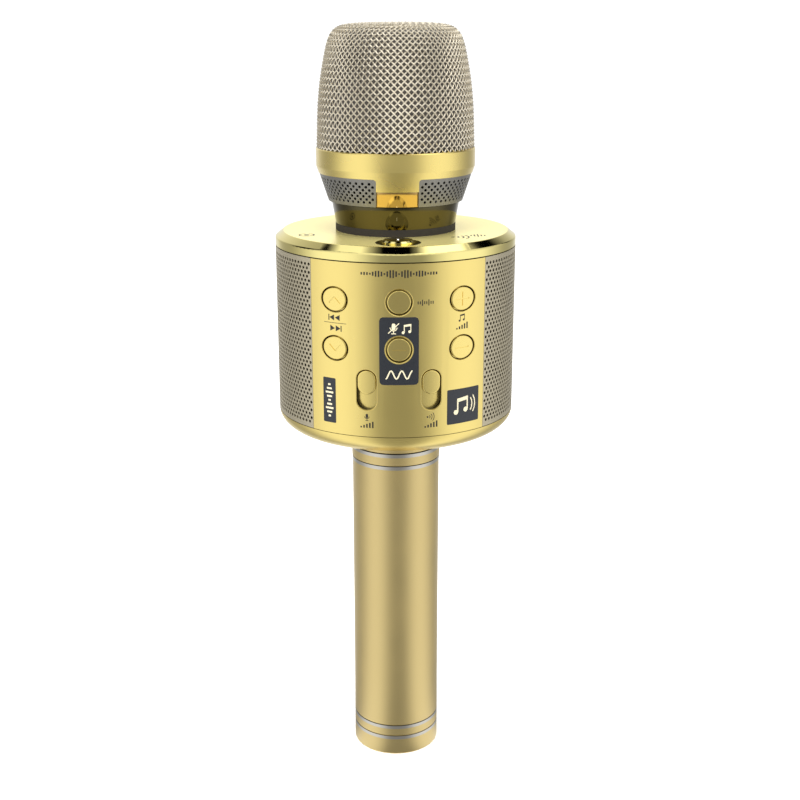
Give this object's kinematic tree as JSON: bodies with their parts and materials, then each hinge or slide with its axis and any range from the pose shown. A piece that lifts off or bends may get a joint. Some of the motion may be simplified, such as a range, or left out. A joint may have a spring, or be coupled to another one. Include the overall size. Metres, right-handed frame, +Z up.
{
  "type": "karaoke microphone",
  "caption": "Handheld karaoke microphone: woven-wire head, loudspeaker drum with a curved gold control panel, and a plain round handle that holds the battery.",
  "frame": {"origin": "centre of the handle's flat end, on the handle's axis", "axes": "+Z up along the handle's axis to the top of the head; the control panel faces -Y; the loudspeakers face -X and +X"},
  "size_m": [0.0798, 0.08, 0.2555],
  "materials": {
    "gold_satin": "fine satin, gold anodised",
    "button_gold": "satin gold plated",
    "gold_mirror": "polished gold plated",
    "gold_anodised": "fine blasted, gold anodised",
    "silver_trim": "bright turned",
    "band_gold": "fine satin, gold anodised",
    "smoked_gloss": "polished, smoked gold",
    "black_plastic": "moulded",
    "black_rubber": "moulded",
    "mesh_wire": "woven wire, champagne plated",
    "basket_steel": "punched sheet, dull plated",
    "grille_sheet": "punched sheet, champagne anodised",
    "liner_foam": "open-cell foam",
    "grille_cloth": "woven speaker cloth",
    "speaker_steel": "black coated",
    "cone_paper": "pressed paper",
    "circuit_board": "solder mask",
    "component_black": "moulded",
    "bare_steel": "plated",
    "contact_metal": "nickel plated",
    "lead_cover": "insulation",
    "cell_wrap": "shrink wrapped"
  },
  "bodies": {
    "drum_and_handle": {"control_panel": "gold_satin", "rear_panel": "gold_satin", "bottom_cover": "gold_satin", "top_cover": "gold_mirror", "handle_tube": "gold_anodised", "grip_ferrule": "gold_anodised", "handle_collar": "gold_anodised", "grip_ring_low": "silver_trim", "grip_ring_high": "silver_trim", "neck_ring": "smoked_gloss", "chassis": "black_plastic", "handle_stem": "black_plastic", "neck_socket": "black_plastic", "neck_gasket": "black_rubber", "capsule_mount": "black_rubber", "left_speaker_surround": "black_rubber", "right_speaker_surround": "black_rubber", "left_grille": "grille_sheet", "right_grille": "grille_sheet", "grille_cloths": "grille_cloth", "left_speaker_frame": "speaker_steel", "right_speaker_frame": "speaker_steel", "left_speaker_magnet": "speaker_steel", "right_speaker_magnet": "speaker_steel", "main_board": "circuit_board", "power_board": "circuit_board", "port_board": "circuit_board", "board_chips": "component_black", "tact_switches": "component_black", "slide_pots": "component_black", "aux_jack": "component_black", "charge_socket": "bare_steel", "card_socket": "bare_steel", "case_screws": "bare_steel", "positive_contact": "contact_metal", "capsule_can": "contact_metal", "battery_leads": "lead_cover", "capsule_lead": "lead_cover", "speaker_leads": "lead_cover", "battery_cell": "cell_wrap"},
    "previous_button": {"previous_button": "button_gold"},
    "next_button": {"next_button": "button_gold"},
    "scan_button": {"scan_button": "button_gold"},
    "voice_button": {"voice_button": "button_gold"},
    "volume_up_button": {"volume_up_button": "button_gold"},
    "volume_down_button": {"volume_down_button": "button_gold"},
    "power_button": {"power_button": "gold_mirror"},
    "mic_volume_slider": {"mic_volume_slider": "button_gold"},
    "echo_slider": {"echo_slider": "button_gold"},
    "left_cone": {"left_speaker_cone": "cone_paper"},
    "right_cone": {"right_speaker_cone": "cone_paper"},
    "head_carrier": {"head_foam": "liner_foam"},
    "head": {"head_mesh": "mesh_wire", "head_band": "band_gold", "head_base": "gold_mirror", "lower_basket": "basket_steel"},
    "cap_carrier": {"tail_contact": "contact_metal", "tail_spring": "contact_metal"},
    "cap": {"end_cap": "gold_anodised", "cap_rings": "silver_trim"}
  },
  "joints": [
    {"name": "previous_button_press", "type": "slide", "parent": "drum_and_handle", "child": "previous_button", "axis": [0, 1, 0], "range_m": [0, 0.0005], "stiffness_N_per_m": 2500},
    {"name": "next_button_press", "type": "slide", "parent": "drum_and_handle", "child": "next_button", "axis": [0, 1, 0], "range_m": [0, 0.0005], "stiffness_N_per_m": 2500},
    {"name": "scan_button_press", "type": "slide", "parent": "drum_and_handle", "child": "scan_button", "axis": [0, 1, 0], "range_m": [0, 0.0005], "stiffness_N_per_m": 2500},
    {"name": "voice_button_press", "type": "slide", "parent": "drum_and_handle", "child": "voice_button", "axis": [0, 1, 0], "range_m": [0, 0.0005], "stiffness_N_per_m": 2500},
    {"name": "volume_up_button_press", "type": "slide", "parent": "drum_and_handle", "child": "volume_up_button", "axis": [0, 1, 0], "range_m": [0, 0.0005], "stiffness_N_per_m": 2500},
    {"name": "volume_down_button_press", "type": "slide", "parent": "drum_and_handle", "child": "volume_down_button", "axis": [0, 1, 0], "range_m": [0, 0.0005], "stiffness_N_per_m": 2500},
    {"name": "power_button_press", "type": "slide", "parent": "drum_and_handle", "child": "power_button", "axis": [0, 0, -1], "range_m": [0, 0.0005], "stiffness_N_per_m": 2500},
    {"name": "mic_volume_slider_travel", "type": "slide", "parent": "drum_and_handle", "child": "mic_volume_slider", "axis": [0, 0, -1], "range_m": [0, 0.0049]},
    {"name": "echo_slider_travel", "type": "slide", "parent": "drum_and_handle", "child": "echo_slider", "axis": [0, 0, -1], "range_m": [0, 0.0049]},
    {"name": "left_cone_excursion", "type": "slide", "parent": "drum_and_handle", "child": "left_cone", "axis": [-1, 0, 0], "range_m": [-0.0008, 0.0008], "stiffness_N_per_m": 1500},
    {"name": "right_cone_excursion", "type": "slide", "parent": "drum_and_handle", "child": "right_cone", "axis": [1, 0, 0], "range_m": [-0.0008, 0.0008], "stiffness_N_per_m": 1500},
    {"name": "head_lift", "type": "slide", "parent": "drum_and_handle", "child": "head_carrier", "axis": [0, 0, 1], "range_m": [0, 0.006]},
    {"name": "head_turn", "type": "hinge", "parent": "head_carrier", "child": "head", "pos_m": [0, 0, 0.2], "axis": [0, 0, 1], "range_deg": [0, 1082]},
    {"name": "cap_lift", "type": "slide", "parent": "drum_and_handle", "child": "cap_carrier", "axis": [0, 0, -1], "range_m": [0, 0.0045]},
    {"name": "cap_turn", "type": "hinge", "parent": "cap_carrier", "child": "cap", "pos_m": [0, 0, 0.006], "axis": [0, 0, -1], "range_deg": [0, 1082]}
  ],
  "couplings": [
    {"joint": "head_turn", "follows": "head_lift", "rad_per_m": 3141.6},
    {"joint": "cap_turn", "follows": "cap_lift", "rad_per_m": 4188.8}
  ]
}
